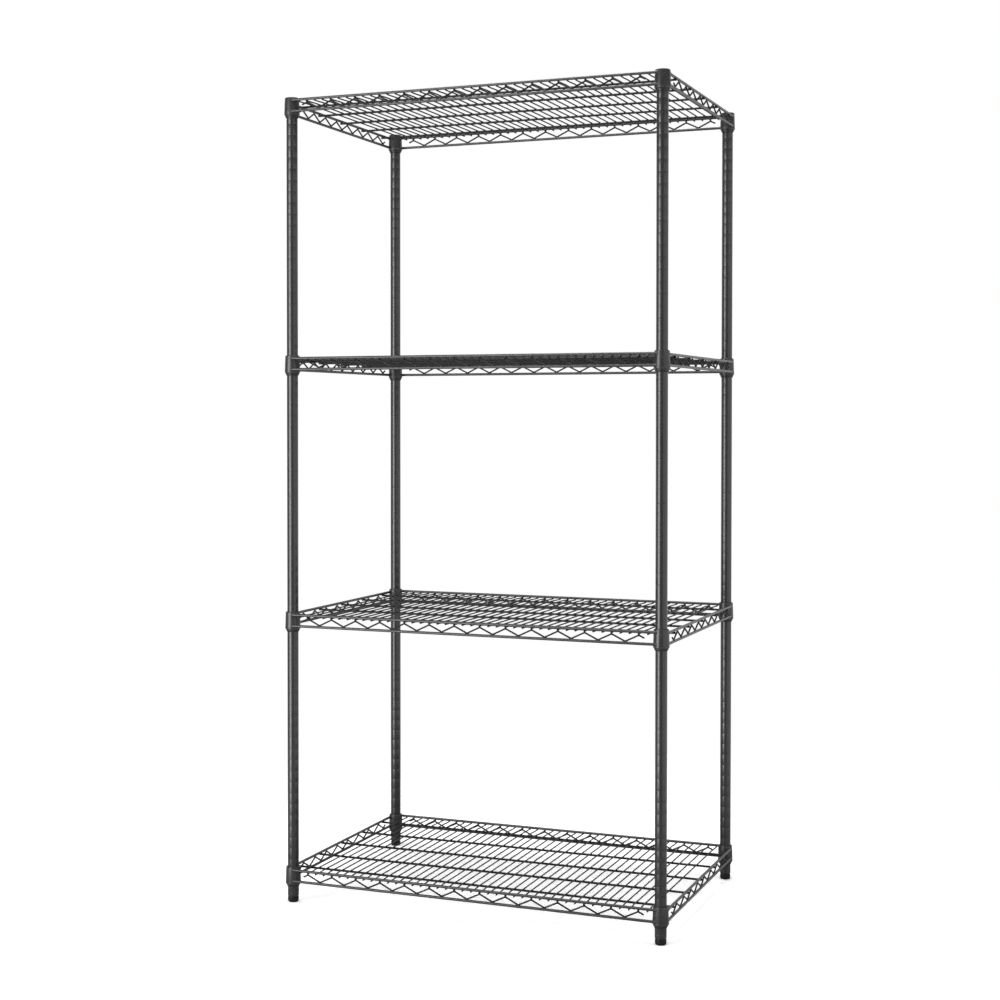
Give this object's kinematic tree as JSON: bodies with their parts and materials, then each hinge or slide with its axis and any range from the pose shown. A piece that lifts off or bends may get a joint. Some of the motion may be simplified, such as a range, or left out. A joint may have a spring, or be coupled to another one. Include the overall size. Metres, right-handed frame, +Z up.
{
  "type": "wire shelving rack",
  "caption": "Free-standing wire shelving rack: round grooved posts on levelling feet carry welded wire shelves that lift off tapered slip sleeves.",
  "frame": {"origin": "on the floor, in the middle of the four levelling feet", "axes": "+Z up along the posts, +X to the right along the shelves, +Y from the front to the back"},
  "size_m": [0.9052, 0.6012, 1.835],
  "materials": {
    "post_epoxy": "charcoal grey epoxy powder coat, semi-gloss, faint orange peel",
    "shelf_epoxy": "charcoal grey epoxy powder coat on welded wire, semi-gloss",
    "cap_plastic": "black moulded plastic, fine grain",
    "sleeve_plastic": "black moulded plastic, fine grain",
    "foot_plastic": "black moulded plastic, slightly glossy",
    "foot_screw": "zinc-plated screw"
  },
  "bodies": {
    "root": {"front_left_lower_post": "post_epoxy", "front_left_upper_post": "post_epoxy", "front_left_post_cap": "cap_plastic", "front_left_sleeve_1": "sleeve_plastic", "front_left_sleeve_2": "sleeve_plastic", "front_left_sleeve_3": "sleeve_plastic", "front_left_sleeve_4": "sleeve_plastic", "front_right_lower_post": "post_epoxy", "front_right_upper_post": "post_epoxy", "front_right_post_cap": "cap_plastic", "front_right_sleeve_1": "sleeve_plastic", "front_right_sleeve_2": "sleeve_plastic", "front_right_sleeve_3": "sleeve_plastic", "front_right_sleeve_4": "sleeve_plastic", "back_left_lower_post": "post_epoxy", "back_left_upper_post": "post_epoxy", "back_left_post_cap": "cap_plastic", "back_left_sleeve_1": "sleeve_plastic", "back_left_sleeve_2": "sleeve_plastic", "back_left_sleeve_3": "sleeve_plastic", "back_left_sleeve_4": "sleeve_plastic", "back_right_lower_post": "post_epoxy", "back_right_upper_post": "post_epoxy", "back_right_post_cap": "cap_plastic", "back_right_sleeve_1": "sleeve_plastic", "back_right_sleeve_2": "sleeve_plastic", "back_right_sleeve_3": "sleeve_plastic", "back_right_sleeve_4": "sleeve_plastic"},
    "shelf_1": {"shelf_1_deck_wires": "shelf_epoxy", "shelf_1_ribs": "shelf_epoxy", "shelf_1_front_truss": "shelf_epoxy", "shelf_1_back_truss": "shelf_epoxy", "shelf_1_left_truss": "shelf_epoxy", "shelf_1_right_truss": "shelf_epoxy"},
    "shelf_2": {"shelf_2_deck_wires": "shelf_epoxy", "shelf_2_ribs": "shelf_epoxy", "shelf_2_front_truss": "shelf_epoxy", "shelf_2_back_truss": "shelf_epoxy", "shelf_2_left_truss": "shelf_epoxy", "shelf_2_right_truss": "shelf_epoxy"},
    "shelf_3": {"shelf_3_deck_wires": "shelf_epoxy", "shelf_3_ribs": "shelf_epoxy", "shelf_3_front_truss": "shelf_epoxy", "shelf_3_back_truss": "shelf_epoxy", "shelf_3_left_truss": "shelf_epoxy", "shelf_3_right_truss": "shelf_epoxy"},
    "shelf_4": {"shelf_4_deck_wires": "shelf_epoxy", "shelf_4_ribs": "shelf_epoxy", "shelf_4_front_truss": "shelf_epoxy", "shelf_4_back_truss": "shelf_epoxy", "shelf_4_left_truss": "shelf_epoxy", "shelf_4_right_truss": "shelf_epoxy"},
    "front_left_foot_screw": {"front_left_foot_stem": "foot_screw"},
    "front_left_foot": {"front_left_foot_base": "foot_plastic"},
    "front_right_foot_screw": {"front_right_foot_stem": "foot_screw"},
    "front_right_foot": {"front_right_foot_base": "foot_plastic"},
    "back_left_foot_screw": {"back_left_foot_stem": "foot_screw"},
    "back_left_foot": {"back_left_foot_base": "foot_plastic"},
    "back_right_foot_screw": {"back_right_foot_stem": "foot_screw"},
    "back_right_foot": {"back_right_foot_base": "foot_plastic"}
  },
  "joints": [
    {"name": "shelf_1_lift", "type": "slide", "parent": "root", "child": "shelf_1", "axis": [0, 0, 1], "range_m": [0, 0.508]},
    {"name": "shelf_2_lift", "type": "slide", "parent": "root", "child": "shelf_2", "axis": [0, 0, 1], "range_m": [0, 0.508]},
    {"name": "shelf_3_lift", "type": "slide", "parent": "root", "child": "shelf_3", "axis": [0, 0, 1], "range_m": [0, 0.508]},
    {"name": "shelf_4_lift", "type": "slide", "parent": "root", "child": "shelf_4", "axis": [0, 0, 1], "range_m": [0, 0.0508]},
    {"name": "front_left_foot_travel", "type": "slide", "parent": "root", "child": "front_left_foot_screw", "axis": [0, 0, -1], "range_m": [0, 0.01]},
    {"name": "front_left_foot_turn", "type": "hinge", "parent": "front_left_foot_screw", "child": "front_left_foot", "pos_m": [-0.435, -0.283, 0.007], "axis": [0, 0, -1], "range_deg": [0, 2880]},
    {"name": "front_right_foot_travel", "type": "slide", "parent": "root", "child": "front_right_foot_screw", "axis": [0, 0, -1], "range_m": [0, 0.01]},
    {"name": "front_right_foot_turn", "type": "hinge", "parent": "front_right_foot_screw", "child": "front_right_foot", "pos_m": [0.435, -0.283, 0.007], "axis": [0, 0, -1], "range_deg": [0, 2880]},
    {"name": "back_left_foot_travel", "type": "slide", "parent": "root", "child": "back_left_foot_screw", "axis": [0, 0, -1], "range_m": [0, 0.01]},
    {"name": "back_left_foot_turn", "type": "hinge", "parent": "back_left_foot_screw", "child": "back_left_foot", "pos_m": [-0.435, 0.283, 0.007], "axis": [0, 0, -1], "range_deg": [0, 2880]},
    {"name": "back_right_foot_travel", "type": "slide", "parent": "root", "child": "back_right_foot_screw", "axis": [0, 0, -1], "range_m": [0, 0.01]},
    {"name": "back_right_foot_turn", "type": "hinge", "parent": "back_right_foot_screw", "child": "back_right_foot", "pos_m": [0.435, 0.283, 0.007], "axis": [0, 0, -1], "range_deg": [0, 2880]}
  ],
  "couplings": [
    {"joint": "front_left_foot_travel", "follows": "front_left_foot_turn", "m_per_rad": 0.00019894},
    {"joint": "front_right_foot_travel", "follows": "front_right_foot_turn", "m_per_rad": 0.00019894},
    {"joint": "back_left_foot_travel", "follows": "back_left_foot_turn", "m_per_rad": 0.00019894},
    {"joint": "back_right_foot_travel", "follows": "back_right_foot_turn", "m_per_rad": 0.00019894}
  ]
}
